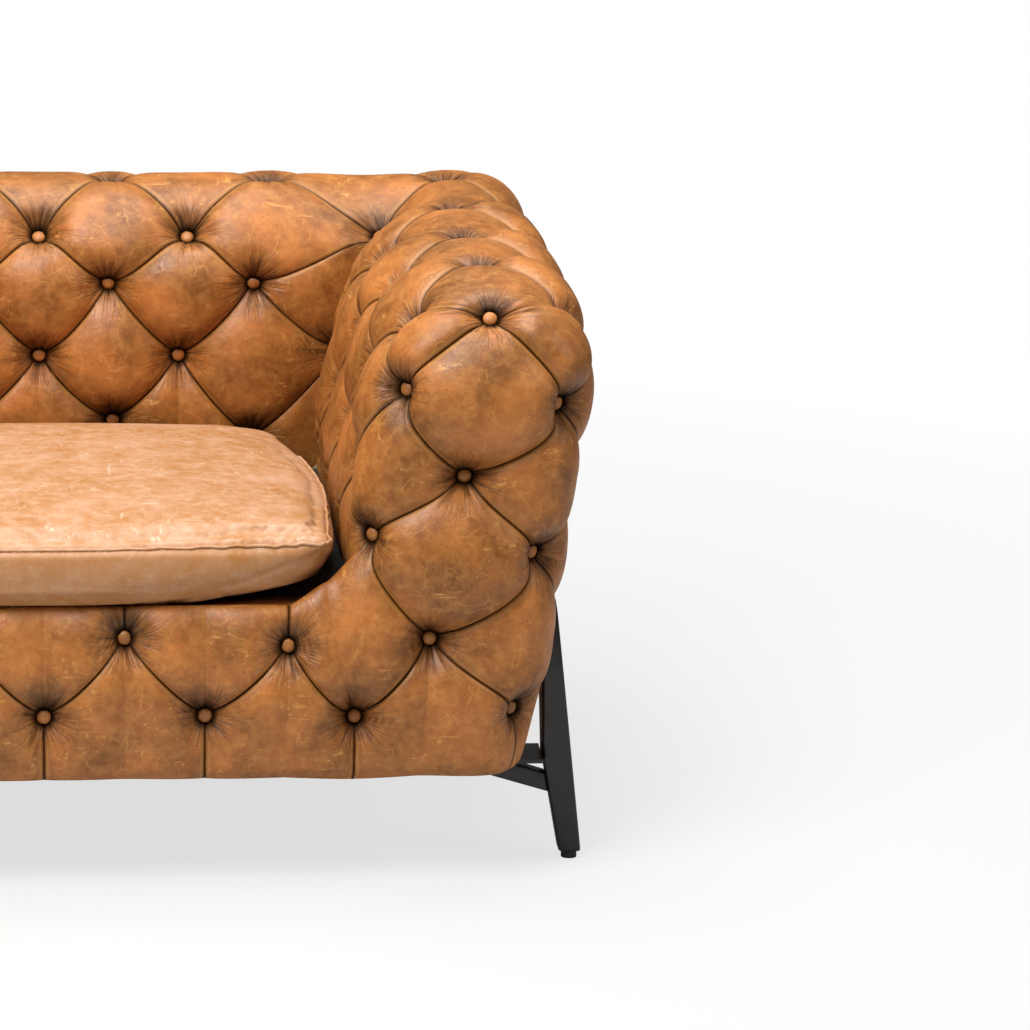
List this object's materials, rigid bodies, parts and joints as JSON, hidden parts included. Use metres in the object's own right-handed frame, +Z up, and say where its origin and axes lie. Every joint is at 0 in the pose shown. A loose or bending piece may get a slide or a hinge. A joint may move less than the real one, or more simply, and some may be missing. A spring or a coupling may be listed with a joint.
{
  "type": "tufted armchair",
  "caption": "Low, wide armchair with deep-buttoned leather arms, back and front rail of equal depth, a loose seat cushion and raked black metal legs.",
  "frame": {"origin": "on the floor, under the middle of the chair", "axes": "+X to the right seen from the front, -Y to the front, +Z up"},
  "size_m": [1.298, 0.9463, 0.7317],
  "materials": {
    "tufted_leather": "waxed cognac leather, worn and scuffed",
    "cushion_leather": "waxed cognac leather, lighter where it is sat on",
    "button_leather": "waxed cognac leather",
    "foam": "upholstery foam with wadding",
    "webbing": "elastic webbing",
    "dust_cloth": "thin black cloth",
    "timber": "sawn hardwood",
    "plywood": "birch plywood",
    "black_steel": "satin black enamel",
    "zinc_screws": "zinc plated",
    "glide_plastic": "black nylon"
  },
  "bodies": {
    "frame": {"arm_bottom_rail_left": "timber", "arm_bottom_rail_right": "timber", "arm_buttons_left": "button_leather", "arm_buttons_right": "button_leather", "arm_cover_left": "tufted_leather", "arm_cover_right": "tufted_leather", "arm_end_buttons_left": "button_leather", "arm_end_buttons_right": "button_leather", "arm_foam_left": "foam", "arm_foam_right": "foam", "arm_front_pad_left": "tufted_leather", "arm_front_pad_right": "tufted_leather", "arm_front_post_left": "timber", "arm_front_post_right": "timber", "arm_inner_panel_left": "plywood", "arm_inner_panel_right": "plywood", "arm_outer_panel_left": "plywood", "arm_outer_panel_right": "plywood", "arm_rear_pad_left": "tufted_leather", "arm_rear_pad_right": "tufted_leather", "arm_rear_post_left": "timber", "arm_rear_post_right": "timber", "arm_top_rail_left": "timber", "arm_top_rail_right": "timber", "back_bottom_rail": "timber", "back_buttons": "button_leather", "back_cover": "tufted_leather", "back_foam": "foam", "back_inner_panel": "plywood", "back_outer_panel": "plywood", "back_post_left": "timber", "back_post_middle": "timber", "back_post_right": "timber", "back_top_rail": "timber", "corner_blocks": "timber", "dust_cover": "dust_cloth", "foot_glides": "glide_plastic", "front_rail_buttons": "button_leather", "front_rail_cover": "tufted_leather", "front_rail_foam": "foam", "leg_front_left": "black_steel", "leg_front_right": "black_steel", "leg_plates": "black_steel", "leg_rear_left": "black_steel", "leg_rear_right": "black_steel", "leg_screws": "zinc_screws", "leg_strut_front_left": "black_steel", "leg_strut_front_right": "black_steel", "leg_strut_rear_left": "black_steel", "leg_strut_rear_right": "black_steel", "seat_deck": "foam", "seat_front_rail": "timber", "seat_rear_rail": "timber", "seat_side_rail_left": "timber", "seat_side_rail_right": "timber", "webbing_crosswise": "webbing", "webbing_lengthwise": "webbing"},
    "cushion": {"seat_cushion_cover": "cushion_leather", "seat_cushion_foam": "foam"}
  },
  "joints": [
    {"name": "cushion_lift", "type": "slide", "parent": "frame", "child": "cushion", "axis": [0, 0, 1], "range_m": [0, 0.46]}
  ]
}
